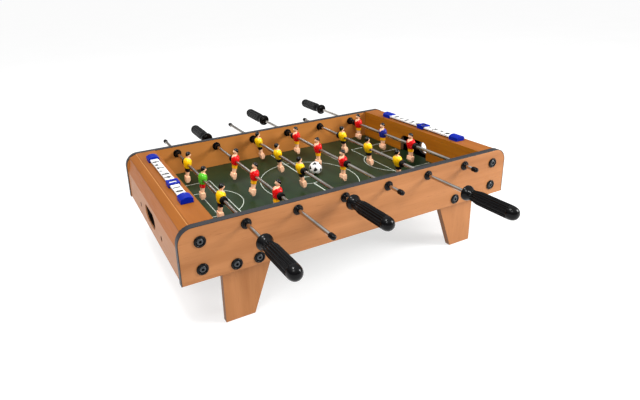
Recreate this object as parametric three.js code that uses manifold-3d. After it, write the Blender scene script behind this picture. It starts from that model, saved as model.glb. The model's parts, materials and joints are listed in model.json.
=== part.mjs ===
// Tabletop foosball table. Millimetres, +Z up, X along the table, Y across it.
import * as THREE from 'three';
import { mergeVertices } from 'three/addons/utils/BufferGeometryUtils.js';
import Module from 'manifold-3d';

const wasm = await Module();
wasm.setup();

// ---- Driving dimensions -------------------------------------------------

const GAP = 0.3; // assembly gap between fixed pieces

const TABLE_LENGTH = 690; // 27 inch tabletop class
const TABLE_WIDTH = 406; // over the outer faces of the side panels
const TOP_Z = 196; // top edge of the side panels
const PANEL_BOTTOM_Z = 100;
const PANEL_T = 12;
const CORNER_R = 27; // rounded top corners of the side panels
const ARC_STEPS = 14; // steps of each visible quarter or half round edge
const TRIM_T = 1.2; // PVC edge banding

const PITCH_Z = 131; // playing surface
const PITCH_T = 6;
const PITCH_HALF_LENGTH = 290;
const GROOVE_DEPTH = 4; // the pitch board sits in grooves of the side panels

const WALL_X = 281; // pitch side of the goal wall
const WALL_T = 9;
const GOAL_WIDTH = 88;
const GOAL_TOP_Z = 171;
const GOAL_CORNER_R = 13;

const END_X = 343; // outer face of the folded end board, inset from the panel ends
const END_T = 9;
const FOLD_TOP_X = 320; // where the end board leaves the flat top
const FOLD_MID = { x: 336.5, z: 189.5 };
const FOLD_LOW_Z = 157;
const CHEEK_T = 12; // end blocks that take the side screws
const EXIT_WIDTH = 76; // ball exit slot
const EXIT_Z = 132.5;
const EXIT_HEIGHT = 31;
const PILOT = { y: 81, z: 125, r: 3.3, depth: 6 };

const LEG = { outer: 275, innerFoot: 222, lean: 0.3645, t: 12, topZ: 124.4 };
const SCREW_CAP = { r: 10, rim: 0.8, crown: 8, h: 2.8 }; // cap washers of the assembly screws
const SCREW_SPOTS = [[309.5, 169.5], [309.5, 121.5], [253, 113], [213, 113]];

const ROD_PITCH = 93;
const ROD_Z = 179.5;
const ROD_R = 3.5;
const ROD_SIDES = 10; // flats of every small turned shape
const ROD_CAP_OUT = 289; // end of the cap, from the middle of the rod
const ROD_IN_GRIP = 309;
const CAP = { r: 4.9, nose: 4.5, length: 13 }; // acorn cap on the free end of a rod
const BUMPER = { from: 111.6, to: 118, r: 7.5 }; // rubber rings that stop the rod at the panels
const BUSH = { bore: 3.8, sleeve: 5, hole: 5.6, nut: 6.2, flange: 9.2, thin: 2, outer: 208, inner: 179 };
const GRIP_START = 281.2; // collar rim of the handle, from the middle of the rod
const GRIP_LENGTH = 105;
const GRIP_BORE = 3.9;
const GRIP_SIDES = 14;

const MAN_PITCH = 100;
const MAN_BORE = 3.9;
const MAN_SIZE = {
  body: { sides: 8, depthScale: 0.74 },
  head: { r: 5.3, x: 0.9, z: 20.7, narrow: 0.94, tall: 1.12 },
  leg: { halfDepth: 3.9, halfWidth: 5.2, low: -29, high: -16 },
  footWidth: 17,
};

// Where each rod stands along Y, which side its handle is on, and how far its men are tipped.
const RODS = [
  { slide: 11.5, side: -1, tip: -7, team: 'yellow' },
  { slide: -26, side: 1, tip: 10, team: 'red' },
  { slide: 56.8, side: -1, tip: 9, team: 'yellow' },
  { slide: 44, side: 1, tip: -2, team: 'red' },
  { slide: -15, side: -1, tip: 10, team: 'yellow' },
  { slide: 53, side: 1, tip: -2, team: 'red' },
];

const COUNTER_X = 300;
const BRACKET = { half: 11, length: 24, shoulder: 8, top: 11.4, flat: 6 };
const STRIP = { half: 8, low: 3, high: 6.5 };
const SLIDER = { half: 10.8, length: 23, low: 1.2, high: 9, clear: 0.4, window: 7, bar: 6.3 };
// Each rail's half length is measured over its end brackets.
const COUNTERS = [
  { name: 'left', side: -1, y: 10, half: 128, slider: -30 },
  { name: 'right', side: 1, y: 0.5, half: 125.5, slider: -10 },
];

const BALL_R = 14;
const BALL_AT = { x: 26, y: 21 };

const GRIP_REACH = GRIP_START + GRIP_LENGTH;
const FAR_REACH = Math.max(...RODS.filter((r) => r.side > 0).map((r) => r.slide + GRIP_REACH));
const NEAR_REACH = Math.min(...RODS.filter((r) => r.side < 0).map((r) => r.slide - GRIP_REACH));
const TABLE_Y = -(FAR_REACH + NEAR_REACH) / 2; // centres the footprint with its handles on the origin

// ---- Materials ----------------------------------------------------------

function paint(color, roughness = 0.5, metalness = 0) {
  return new THREE.MeshStandardMaterial({ color, roughness, metalness });
}

const LAMINATE = paint('#c98a55', 0.5);
const TRIM = paint('#47474a', 0.6);
const GREEN_BOARD = paint('#23452b', 0.75);
const STEEL = paint('#b9bcc0', 0.25, 1);
const BLACK_PLASTIC = paint('#141415', 0.4);
const WHITE_PLASTIC = paint('#f2f2ee', 0.4);
const BLUE_PLASTIC = paint('#1c2fa8', 0.35);
const SHIRTS = {
  yellow: paint('#f2b90f', 0.35),
  red: paint('#d3141a', 0.35),
  green: paint('#4faf2a', 0.35),
  navy: paint('#1d2471', 0.35),
};

// ---- Geometry helpers ---------------------------------------------------

const along = {
  // A flat shape drawn in X and Z, thickened along -Y from y = 0.
  y: new THREE.Matrix4().makeRotationX(Math.PI / 2),
  // A flat shape drawn in Y and Z, thickened along +X from x = 0.
  x: new THREE.Matrix4().makeBasis(
    new THREE.Vector3(0, 1, 0),
    new THREE.Vector3(0, 0, 1),
    new THREE.Vector3(1, 0, 0),
  ),
};

function solid(geometry) {
  const bare = geometry.clone();
  bare.deleteAttribute('normal');
  bare.deleteAttribute('uv');
  const merged = mergeVertices(bare, 1e-4);
  return new wasm.Manifold(new wasm.Mesh({
    numProp: 3,
    vertProperties: new Float32Array(merged.attributes.position.array),
    triVerts: new Uint32Array(merged.index.array),
  }));
}

function mesh(name, shape, material) {
  const { vertProperties, triVerts, numProp } = shape.getMesh();
  const points = new Float32Array((vertProperties.length / numProp) * 3);
  for (let i = 0; i < points.length / 3; i += 1) {
    points.set(vertProperties.subarray(i * numProp, i * numProp + 3), i * 3);
  }
  const geometry = new THREE.BufferGeometry();
  geometry.setAttribute('position', new THREE.BufferAttribute(points, 3));
  geometry.setIndex(new THREE.BufferAttribute(new Uint32Array(triVerts), 1));
  geometry.computeVertexNormals();
  geometry.translate(0, TABLE_Y, 0);
  const part = new THREE.Mesh(geometry, material);
  part.name = name;
  return part;
}

function slab(points, depth, matrix, holes = []) {
  const shape = new THREE.Shape(points.map(([a, b]) => new THREE.Vector2(a, b)));
  shape.holes = holes.map((hole) => new THREE.Path(hole.map(([a, b]) => new THREE.Vector2(a, b))));
  const geometry = new THREE.ExtrudeGeometry(shape, { depth, bevelEnabled: false });
  return solid(geometry.applyMatrix4(matrix));
}

function box(x0, x1, y0, y1, z0, z1) {
  const geometry = new THREE.BoxGeometry(x1 - x0, y1 - y0, z1 - z0);
  return solid(geometry.translate((x0 + x1) / 2, (y0 + y1) / 2, (z0 + z1) / 2));
}

// A turned shape about the Y axis from [radius, y] pairs, listed from low y to high y on the outside.
function turned(profile, sides) {
  return solid(new THREE.LatheGeometry(profile.map(([r, y]) => new THREE.Vector2(r, y)), sides));
}

function arc(cx, cz, r, from, to, steps) {
  const points = [];
  for (let i = 0; i <= steps; i += 1) {
    const a = THREE.MathUtils.degToRad(from + ((to - from) * i) / steps);
    points.push([cx + r * Math.cos(a), cz + r * Math.sin(a)]);
  }
  return points;
}

function ring(cx, cz, r, sides) {
  return arc(cx, cz, r, 0, 360, sides).slice(0, sides);
}

function rodX(index) {
  return (index - (RODS.length - 1) / 2) * ROD_PITCH;
}

// ---- Cabinet ------------------------------------------------------------

// The side panel's outline, made smaller by inset all round except along the bottom.
function panelOutline(inset) {
  const half = TABLE_LENGTH / 2;
  const r = CORNER_R - inset;
  const cx = half - CORNER_R;
  const cz = TOP_Z - CORNER_R;
  return [
    [half - inset, PANEL_BOTTOM_Z],
    ...arc(cx, cz, r, 0, 90, ARC_STEPS),
    ...arc(-cx, cz, r, 90, 180, ARC_STEPS),
    [-half + inset, PANEL_BOTTOM_Z],
  ];
}

function capWasher(x, z, side) {
  const face = (TABLE_WIDTH / 2) * side;
  const { r, rim, crown, h } = SCREW_CAP;
  const cap = turned([[0, -1], [r, -1], [r, rim], [crown, h], [0, h]], ROD_SIDES);
  const turnedOut = side < 0 ? cap.rotate([0, 0, 180]) : cap;
  return turnedOut.translate([x, face, z]);
}

function sidePanel(side) {
  const holes = RODS.map((rod, i) => ring(rodX(i), ROD_Z, BUSH.hole, ROD_SIDES));
  const outer = (TABLE_WIDTH / 2) * side;
  const inner = outer - PANEL_T * side;
  let panel = slab(panelOutline(TRIM_T + GAP / 2), PANEL_T, along.y, holes);
  panel = panel.translate([0, Math.max(outer, inner), 0]);
  const floor = inner + (GROOVE_DEPTH + GAP) * side;
  const [y0, y1] = [Math.min(inner - side, floor), Math.max(inner - side, floor)];
  const reach = PITCH_HALF_LENGTH + GAP;
  panel = panel.subtract(box(-reach, reach, y0, y1, PITCH_Z - PITCH_T - GAP, PITCH_Z + GAP));
  for (const [x, z] of SCREW_SPOTS) {
    panel = panel.add(capWasher(x, z, side)).add(capWasher(-x, z, side));
  }
  return panel;
}

function edgeTrim(side) {
  const points = [...panelOutline(0), ...panelOutline(TRIM_T).reverse()];
  const outer = (TABLE_WIDTH / 2) * side;
  return slab(points, PANEL_T, along.y).translate([0, Math.max(outer, outer - PANEL_T * side), 0]);
}

function pitchBoard() {
  const half = TABLE_WIDTH / 2 - PANEL_T + GROOVE_DEPTH - GAP;
  return box(-PITCH_HALF_LENGTH, PITCH_HALF_LENGTH, -half, half, PITCH_Z - PITCH_T, PITCH_Z);
}

const INSIDE_HALF = TABLE_WIDTH / 2 - PANEL_T - GAP; // half width of what fits between the panels

function goalWall(side) {
  const goal = GOAL_WIDTH / 2;
  const low = PITCH_Z + GAP;
  const cy = goal - GOAL_CORNER_R;
  const cz = GOAL_TOP_Z - GOAL_CORNER_R;
  const points = [
    [-INSIDE_HALF, low],
    [-goal, low],
    ...arc(-cy, cz, GOAL_CORNER_R, 180, 90, ARC_STEPS),
    ...arc(cy, cz, GOAL_CORNER_R, 90, 0, ARC_STEPS),
    [goal, low],
    [INSIDE_HALF, low],
    [INSIDE_HALF, TOP_Z - END_T - GAP],
    [-INSIDE_HALF, TOP_Z - END_T - GAP],
  ].reverse();
  return slab(points, WALL_T, along.x).translate([side < 0 ? -WALL_X - WALL_T : WALL_X, 0, 0]);
}

// The end board is folded round the ball pocket: top, two bends, end face, floor and a short upstand.
function endCover(side) {
  const upstand = PITCH_Z - PITCH_T - GAP;
  const outline = [
    [WALL_X, TOP_Z - END_T],
    [FOLD_TOP_X - 2.5, TOP_Z - END_T],
    [FOLD_MID.x - 6.6, FOLD_MID.z - 7],
    [END_X - END_T, FOLD_LOW_Z - 1],
    [END_X - END_T, PANEL_BOTTOM_Z + END_T],
    [WALL_X + WALL_T, PANEL_BOTTOM_Z + END_T],
    [WALL_X + WALL_T, upstand],
    [WALL_X, upstand],
    [WALL_X, PANEL_BOTTOM_Z],
    [END_X, PANEL_BOTTOM_Z],
    [END_X, FOLD_LOW_Z],
    [FOLD_MID.x, FOLD_MID.z],
    [FOLD_TOP_X, TOP_Z],
    [WALL_X, TOP_Z],
  ];
  let cover = slab(outline, 2 * INSIDE_HALF, along.y).translate([0, INSIDE_HALF, 0]);
  const cheekX = WALL_X + WALL_T + GAP;
  const cheek = [
    [cheekX, PANEL_BOTTOM_Z + END_T - 1],
    [END_X - 1, PANEL_BOTTOM_Z + END_T - 1],
    [END_X - 1, FOLD_LOW_Z - 1],
    [FOLD_MID.x - 2, FOLD_MID.z - 2],
    [FOLD_TOP_X - 1, TOP_Z - 1],
    [cheekX, TOP_Z - 1],
  ];
  const farCheek = slab(cheek, CHEEK_T, along.y).translate([0, INSIDE_HALF, 0]);
  cover = cover.add(farCheek).add(farCheek.translate([0, CHEEK_T - 2 * INSIDE_HALF, 0]));
  const r = EXIT_HEIGHT / 2;
  const cy = EXIT_WIDTH / 2 - r;
  const slot = [
    ...arc(cy, EXIT_Z, r, -90, 90, 2 * ARC_STEPS),
    ...arc(-cy, EXIT_Z, r, 90, 270, 2 * ARC_STEPS),
  ];
  cover = cover.subtract(slab(slot, 3 * END_T, along.x).translate([END_X - 2 * END_T, 0, 0]));
  for (const y of [-PILOT.y, PILOT.y]) {
    const hole = slab(ring(y, PILOT.z, PILOT.r, ARC_STEPS), 2 * PILOT.depth, along.x);
    cover = cover.subtract(hole.translate([END_X - PILOT.depth, 0, 0]));
  }
  return side < 0 ? cover.rotate([0, 0, 180]) : cover;
}

function leg(xSide, ySide) {
  const top = LEG.innerFoot - LEG.lean * LEG.topZ;
  const points = [[LEG.innerFoot, 0], [LEG.outer, 0], [LEG.outer, LEG.topZ], [top, LEG.topZ]];
  const placed = slab(points, LEG.t, along.y).translate([0, INSIDE_HALF, 0]);
  const mirrored = ySide < 0 ? placed.translate([0, LEG.t - 2 * INSIDE_HALF, 0]) : placed;
  return xSide > 0 ? mirrored : mirrored.mirror([1, 0, 0]);
}

// ---- Rods ---------------------------------------------------------------

// A flanged bush outside, its sleeve through the panel, and its nut inside, with a running bore.
function bushing(index, side) {
  const outerFace = TABLE_WIDTH / 2 + GAP;
  const innerFace = TABLE_WIDTH / 2 - PANEL_T - GAP;
  const profile = [
    [BUSH.bore, BUSH.inner],
    [BUSH.nut, BUSH.inner],
    [BUSH.flange, innerFace - BUSH.thin],
    [BUSH.flange, innerFace],
    [BUSH.sleeve, innerFace],
    [BUSH.sleeve, outerFace],
    [BUSH.flange, outerFace],
    [BUSH.flange, outerFace + BUSH.thin],
    [BUSH.nut, BUSH.outer],
    [BUSH.bore, BUSH.outer],
    [BUSH.bore, BUSH.inner],
  ];
  const bush = turned(profile, ROD_SIDES);
  return (side < 0 ? bush.rotate([0, 0, 180]) : bush).translate([rodX(index), 0, ROD_Z]);
}

function placeOnRod(shape, index) {
  const rod = RODS[index];
  const turnedShape = rod.side < 0 ? shape.rotate([0, 0, 180]) : shape;
  return turnedShape.translate([rodX(index), rod.slide, ROD_Z]);
}

// The steel rod with its end cap and its two rubber bumpers, handle end towards +Y.
function steelRod(index) {
  const profile = [
    [0, -ROD_CAP_OUT],
    [CAP.r, CAP.nose - ROD_CAP_OUT],
    [CAP.r, CAP.length - ROD_CAP_OUT],
    [ROD_R, CAP.length - ROD_CAP_OUT],
    [ROD_R, -BUMPER.to],
    [BUMPER.r, -BUMPER.to],
    [BUMPER.r, -BUMPER.from],
    [ROD_R, -BUMPER.from],
    [ROD_R, BUMPER.from],
    [BUMPER.r, BUMPER.from],
    [BUMPER.r, BUMPER.to],
    [ROD_R, BUMPER.to],
    [ROD_R, ROD_IN_GRIP],
    [0, ROD_IN_GRIP],
  ];
  return placeOnRod(turned(profile, ROD_SIDES), index);
}

// The handle's outside from its collar rim to its domed end, as [radius, distance from the rim].
const GRIP_PROFILE = [
  [12.9, 0],
  [13.8, 1.4],
  [13.8, 3.6],
  [9.8, 12],
  [9.4, 20],
  [12, 32],
  [12, 92],
  [10.4, 99.2],
  [5.4, 103.8],
  [0, GRIP_LENGTH],
];

function handle(index) {
  const bottom = ROD_IN_GRIP - GRIP_START + 1;
  const profile = [[0, bottom], [GRIP_BORE, bottom], [GRIP_BORE, 0], ...GRIP_PROFILE];
  const grip = turned(profile.map(([r, y]) => [r, y + GRIP_START]), GRIP_SIDES);
  return placeOnRod(grip, index);
}

// ---- Men ----------------------------------------------------------------

// An upright shape about the Z axis from [radius, z] pairs, squashed front to back.
function upright(profile, sides, depthScale) {
  const geometry = new THREE.LatheGeometry(profile.map(([r, z]) => new THREE.Vector2(r, z)), sides);
  return solid(geometry.rotateX(Math.PI / 2).scale(depthScale, 1, 1));
}

// Shorts, shirt, shoulders and neck of a player, as [half width, height over the rod's axis].
const BODY_PROFILE = [
  [0, -17.5],
  [6.4, -17.5],
  [7.4, -9.5],
  [11.2, 3],
  [10.2, 9],
  [3.2, 13.6],
  [3, 18],
  [0, 18],
];

// Side view of the wedge shaped foot block, toe towards +X.
const FOOT_SIDE = [
  [-3.6, -40.5],
  [3.4, -40.5],
  [5.6, -36],
  [3.9, -26.5],
  [-3.9, -26.5],
  [-4.6, -31],
];

// One player with the rod's axis at the origin, facing +X.
function makeMan() {
  const { body, head, leg, footWidth } = MAN_SIZE;
  const trunk = upright(BODY_PROFILE, body.sides, body.depthScale);
  const skull = new THREE.SphereGeometry(head.r, 8, 5).rotateX(Math.PI / 2);
  const face = solid(skull.scale(1, head.narrow, head.tall).translate(head.x, 0, head.z));
  const legs = box(-leg.halfDepth, leg.halfDepth, -leg.halfWidth, leg.halfWidth, leg.low, leg.high);
  const feet = slab(FOOT_SIDE, footWidth, along.y).translate([0, footWidth / 2, 0]);
  const bore = turned([[0, -20], [MAN_BORE, -20], [MAN_BORE, 20], [0, 20]], ROD_SIDES);
  return trunk.add(face).add(legs).add(feet).subtract(bore);
}

const MAN = makeMan();

function man(index, place) {
  const rod = RODS[index];
  const facing = rod.team === 'yellow' ? 0 : 180;
  const tipped = MAN.rotate([0, -rod.tip, 0]).rotate([0, 0, facing]);
  return tipped.translate([rodX(index), rod.slide + place * MAN_PITCH, ROD_Z]);
}

function shirt(index, place) {
  if (place === 0 && index === 0) return SHIRTS.green;
  if (place === 0 && index === RODS.length - 1) return SHIRTS.navy;
  return SHIRTS[RODS[index].team];
}

// ---- Score counters and ball --------------------------------------------

function scoreRail({ side, y, half }) {
  const base = TOP_Z + 0.2;
  const { half: wide, length, shoulder, top, flat } = BRACKET;
  const section = [[-wide, 0], [wide, 0], [wide, shoulder], [flat, top], [-flat, top], [-wide, shoulder]];
  const block = slab(section, length, along.y);
  const far = block.translate([0, half, 0]);
  const near = block.translate([0, length - half, 0]);
  const end = half - length + 1;
  const strip = box(-STRIP.half, STRIP.half, -end, end, STRIP.low, STRIP.high);
  return strip.add(far).add(near).translate([side * COUNTER_X, y, base]);
}

function scoreSlider({ side, slider }) {
  const base = TOP_Z + 0.2;
  const half = SLIDER.length / 2;
  const { clear } = SLIDER;
  const body = box(-SLIDER.half, SLIDER.half, -half, half, SLIDER.low, SLIDER.high);
  const passX = STRIP.half + clear;
  const passage = box(-passX, passX, -half - 1, half + 1, STRIP.low - clear, STRIP.high + clear);
  const open = half - SLIDER.bar;
  const window = box(-SLIDER.window, SLIDER.window, -open, open, STRIP.high, SLIDER.high + 1);
  return body.subtract(passage).subtract(window).translate([side * COUNTER_X, slider, base]);
}

function ball() {
  const sphere = new THREE.SphereGeometry(BALL_R, 12, 8).rotateX(Math.PI / 2);
  return solid(sphere).translate([BALL_AT.x, BALL_AT.y, PITCH_Z + GAP + BALL_R]);
}

// ---- Assembly -----------------------------------------------------------

function buildCabinet(table) {
  for (const [name, side] of [['near', -1], ['far', 1]]) {
    table.add(mesh(`side_panel_${name}`, sidePanel(side), LAMINATE));
    table.add(mesh(`edge_trim_${name}`, edgeTrim(side), TRIM));
    table.add(mesh(`leg_${name}_left`, leg(-1, side), LAMINATE));
    table.add(mesh(`leg_${name}_right`, leg(1, side), LAMINATE));
  }
  table.add(mesh('pitch_board', pitchBoard(), GREEN_BOARD));
  for (const [name, side] of [['left', -1], ['right', 1]]) {
    table.add(mesh(`end_cover_${name}`, endCover(side), LAMINATE));
    table.add(mesh(`goal_wall_${name}`, goalWall(side), LAMINATE));
  }
}

function buildRod(table, index) {
  const n = index + 1;
  table.add(mesh(`bushing_near_${n}`, bushing(index, -1), BLACK_PLASTIC));
  table.add(mesh(`bushing_far_${n}`, bushing(index, 1), BLACK_PLASTIC));
  table.add(mesh(`rod_${n}`, steelRod(index), STEEL));
  table.add(mesh(`handle_${n}`, handle(index), BLACK_PLASTIC));
  for (const [name, place] of [['near', -1], ['mid', 0], ['far', 1]]) {
    table.add(mesh(`man_${n}_${name}`, man(index, place), shirt(index, place)));
  }
}

const table = new THREE.Group();
table.name = 'foosball_table';
buildCabinet(table);
RODS.forEach((rod, index) => buildRod(table, index));
for (const counter of COUNTERS) {
  table.add(mesh(`score_rail_${counter.name}`, scoreRail(counter), WHITE_PLASTIC));
  table.add(mesh(`score_slider_${counter.name}`, scoreSlider(counter), BLUE_PLASTIC));
}
table.add(mesh('ball', ball(), WHITE_PLASTIC));

export default table;
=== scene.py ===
import json
import math
import random

import bmesh
import bpy
from mathutils import Euler, Matrix, Vector


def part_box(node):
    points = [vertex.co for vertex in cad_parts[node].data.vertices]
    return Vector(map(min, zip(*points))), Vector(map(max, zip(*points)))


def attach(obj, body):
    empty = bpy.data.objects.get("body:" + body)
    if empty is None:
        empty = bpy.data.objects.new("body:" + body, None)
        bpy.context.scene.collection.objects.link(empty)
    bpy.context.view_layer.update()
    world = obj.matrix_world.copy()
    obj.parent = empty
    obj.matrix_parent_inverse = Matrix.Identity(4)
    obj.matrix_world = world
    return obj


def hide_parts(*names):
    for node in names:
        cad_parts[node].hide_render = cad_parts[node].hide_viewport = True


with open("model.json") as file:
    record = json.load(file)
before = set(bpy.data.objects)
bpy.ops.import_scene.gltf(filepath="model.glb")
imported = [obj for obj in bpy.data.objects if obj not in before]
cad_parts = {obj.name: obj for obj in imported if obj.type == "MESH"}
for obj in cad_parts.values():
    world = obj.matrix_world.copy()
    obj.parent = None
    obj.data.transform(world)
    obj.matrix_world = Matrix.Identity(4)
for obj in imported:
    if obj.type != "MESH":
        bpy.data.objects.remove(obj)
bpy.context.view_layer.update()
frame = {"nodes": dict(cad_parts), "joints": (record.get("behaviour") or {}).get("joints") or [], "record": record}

MM = 0.001

# The screw heads are turned by random amounts.
SEED = 11
random.seed(SEED)

# ---- Sizes read from the frame, in millimetres ----

JOINTS = {joint["child"]: joint for joint in frame["joints"]}
SLOTS = {part["node"]: part["material_slot"] for part in frame["record"]["subparts"]}
SIDES = (("near", -1), ("far", 1))
ENDS = (("left", -1), ("right", 1))
RODS = range(1, 7)


def box_mm(node):
    """Lowest and highest corner of a CAD node, in millimetres."""
    low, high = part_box(node)
    return low / MM, high / MM


TRIM_LOW, TRIM_HIGH = box_mm("edge_trim_near")
FAR_HIGH = box_mm("edge_trim_far")[1]
TOP_Z = TRIM_HIGH.z
BOTTOM_Z = TRIM_LOW.z
HALF_LENGTH = TRIM_HIGH.x
MID_Y = (TRIM_LOW.y + FAR_HIGH.y) / 2
HALF_WIDTH = (FAR_HIGH.y - TRIM_LOW.y) / 2
PANEL_T = TRIM_HIGH.y - TRIM_LOW.y
INSIDE = HALF_WIDTH - PANEL_T
PITCH_Z = box_mm("pitch_board")[1].z
ROD_Z = JOINTS["spin_1"]["pos_m"][2] / MM

# Sizes that the frame's boxes don't hold. They are measured in the photograph, or guessed where hidden.
ROD_R = 3.5
CORNER_R = 27
TRIM_T = 1.2
BUSH_HOLE_R = 5.5
CHEEK_T = 12
LEG_FOOT = 53
WALL_X = 281
GOAL = {"half": 44, "r": 13, "top": 171}
SCREW_SPOTS = ((309.5, 169.5), (309.5, 121.5), (253, 113), (213, 113))

# The end cover's section: it folds down at FOLD_X, again at the shoulder, and ends in an upright face.
FOLD_X = 320
SHOULDER_X, SHOULDER_Z = 336.5, 189.5
END_X = 343
END_T = 9
FACE_TOP_Z = 157
LIP_Z = 124.7
# Lines painted along the folds: the dark ones are painted shade in the fold grooves, the pale one a painted
# highlight.
FOLD_SHADING = ((FOLD_X, 0.6, "#7d451c"), (322.2, 0.5, "#e0a96c"), (SHOULDER_X, 0.5, "#8a4f22"))
SLOT = {"half": 38, "r": 15.5, "z": 132.5, "lip": 4, "spare": 9}
PILOTS = {"y": 81, "z": 125, "r": 5.4, "depth": 6}

# Number of straight pieces in an arc, and round a turned shape.
ARC_STEPS = 18
ROUND = 40

# Turns that lay a shape drawn in XY, or along Z, the way it stands on the table.
ALONG_X = Matrix(((0, 0, 1, 0), (1, 0, 0, 0), (0, 1, 0, 0), (0, 0, 0, 1)))
ALONG_Y = Matrix.Rotation(-math.pi / 2, 4, "X")
FACING_Y = Matrix.Rotation(math.pi / 2, 4, "X")
HALF_TURN = Matrix.Rotation(math.pi, 4, "Z")


def rod_x(n):
    """Distance of a rod from the middle of the table, along it."""
    return JOINTS[f"spin_{n}"]["pos_m"][0] / MM


def at(x, y, z):
    """A move, as a matrix."""
    return Matrix.Translation((x, y, z))


# ---- Materials ----

BOARD_PALE, BOARD_DEEP, BOARD_RAW = "#b57a4b", "#9c6438", "#84583a"
POCKET_SHADE = "#2b1c11"
SKIN, SKIN_PALE, HAIR = "#ffc297", "#ffd0ae", "#0a0808"


def srgb(code):
    """A colour code as linear red, green, blue and alpha."""
    values = [int(code[i:i + 2], 16) / 255 for i in (1, 3, 5)]
    return tuple(((v + 0.055) / 1.055) ** 2.4 if v > 0.04 else v / 12.92 for v in values) + (1,)


class Paint:
    """A node material built with short calls. Any input takes a plain value or a socket."""

    def __init__(self, name, **shader):
        self.material = bpy.data.materials.new(name)
        self.material.use_nodes = True
        self.tree = self.material.node_tree
        self.shader = self.tree.nodes["Principled BSDF"]
        self.finish(**shader)
        coordinates = self.node("ShaderNodeTexCoord")
        self.where = coordinates.outputs["Object"]
        self.normal = coordinates.outputs["Normal"]

    def put(self, socket, value):
        """Link a socket into an input, or write a value there."""
        if isinstance(value, bpy.types.NodeSocket):
            self.tree.links.new(value, socket)
        else:
            socket.default_value = value

    def finish(self, **values):
        """Set inputs of the shader by name, with _ for a space."""
        for key, value in values.items():
            self.put(self.shader.inputs[key.replace("_", " ")], value)

    def node(self, kind, values=(), **settings):
        made = self.tree.nodes.new(kind)
        for key, value in settings.items():
            setattr(made, key, value)
        for key, value in dict(values).items():
            self.put(made.inputs[key], value)
        return made

    def color(self):
        """The socket that feeds the base colour so far."""
        return self.shader.inputs["Base Color"].links[0].from_socket

    def spread(self, axis, middle=0):
        """Distance from a middle, in millimetres, along an axis of the object. The result is in metres."""
        return self.math("ABSOLUTE", self.math("SUBTRACT", self.axes()[axis], middle * MM))

    def both(self, first, second):
        """The product of two masks, or of a mask and an amount."""
        return self.math("MULTIPLY", first, second)

    def within(self, value, low, high):
        """One where a coordinate lies between two sizes in millimetres, and zero elsewhere."""
        return self.math("COMPARE", value, (low + high) / 2 * MM, (high - low) / 2 * MM)

    def math(self, operation, *values):
        made = self.node("ShaderNodeMath", operation=operation)
        for socket, value in zip(made.inputs, values):
            self.put(socket, value)
        return made.outputs[0]

    def dot(self, vector, direction):
        made = self.node("ShaderNodeVectorMath", {0: vector, 1: direction}, operation="DOT_PRODUCT")
        return made.outputs["Value"]

    def axes(self, vector=None):
        return self.node("ShaderNodeSeparateXYZ", {0: vector or self.where}).outputs

    def noise(self, scale, detail=3.0, roughness=0.5):
        """Noise whose grains have the frequency scale, per metre, on each axis."""
        across = scale if isinstance(scale, tuple) else (scale,) * 3
        place = self.node("ShaderNodeVectorMath", {0: self.where, 1: across}, operation="MULTIPLY")
        values = {"Vector": place.outputs[0], "Scale": 1.0, "Detail": detail, "Roughness": roughness}
        return self.node("ShaderNodeTexNoise", values).outputs["Fac"]

    def between(self, value, low, high, out_low=0.0, out_high=1.0):
        values = {0: value, 1: low, 2: high, 3: out_low, 4: out_high}
        return self.node("ShaderNodeMapRange", values).outputs[0]

    def mix(self, factor, first, second):
        values = {0: factor, 6: first, 7: second}
        return self.node("ShaderNodeMix", values, data_type="RGBA").outputs[2]

    def bump(self, height, distance, strength=0.5):
        values = {"Height": height, "Distance": distance * MM, "Strength": strength}
        self.finish(Normal=self.node("ShaderNodeBump", values).outputs[0])


def wood(name, grain, pale, deep, raw=None, raw_axis=0, shine=0.2):
    """Wood print laminate with its grain along one axis, and raw board where it is cut."""
    p = Paint(name, Specular_IOR_Level=shine)

    def stretched(along, across):
        """Noise frequencies along and across the grain."""
        return tuple(along if axis == grain else across for axis in "xyz")

    streaks = p.noise(stretched(3.2, 42), 3, 0.55)
    clouds = p.noise(stretched(4, 9), 2)
    fibres = p.noise(stretched(26, 620), 3, 0.6)
    pores = p.between(p.noise(stretched(45, 900), 2), 0.66, 0.74)
    tone = p.math("ADD", p.both(streaks, 0.55), p.both(clouds, 0.3))
    tone = p.math("ADD", tone, p.both(fibres, 0.15))
    color = p.mix(p.between(tone, 0.36, 0.64), srgb(deep), srgb(pale))
    color = p.mix(p.both(pores, 0.3), color, srgb("#5e3417"))
    if raw:
        facing = p.math("ABSOLUTE", p.axes(p.normal)[raw_axis])
        board = p.mix(p.between(p.noise(900, 2), 0.3, 0.7), srgb(raw), srgb("#744b2a"))
        color = p.mix(p.between(facing, 0.6, 0.7, 1, 0), color, board)
    p.finish(Base_Color=color, Roughness=p.between(fibres, 0.3, 0.7, 0.36, 0.5))
    p.bump(p.math("ADD", fibres, pores), 0.05, 0.35)
    return p


def wall_laminate():
    """Goal wall laminate in a deeper orange than the panels, as painted shade, with painted shade on the raw board
    of its back in the ball pocket.
    """
    p = wood("wood_wall", "y", "#bd7417", "#9c5b10", raw="#6e4425", raw_axis=0)
    # Painted shade on the back of the wall, in the ball pocket.
    back = p.within(p.spread(0), WALL_X + 8.6, WALL_X + 10)
    p.finish(Base_Color=p.mix(back, p.color(), srgb(POCKET_SHADE)))
    return p


def panel_laminate():
    """Side panel laminate, with a more orange tint painted on its inner face as painted shade."""
    p = wood("wood_panel", "x", BOARD_PALE, BOARD_DEEP, raw=BOARD_RAW, raw_axis=1)
    # Painted shade: a more orange tint on the inner face.
    inner = p.both(p.within(p.spread(1, MID_Y), 0, INSIDE + 0.6), 0.65)
    p.finish(Base_Color=p.mix(inner, p.color(), srgb("#c07a30")))
    return p


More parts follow.
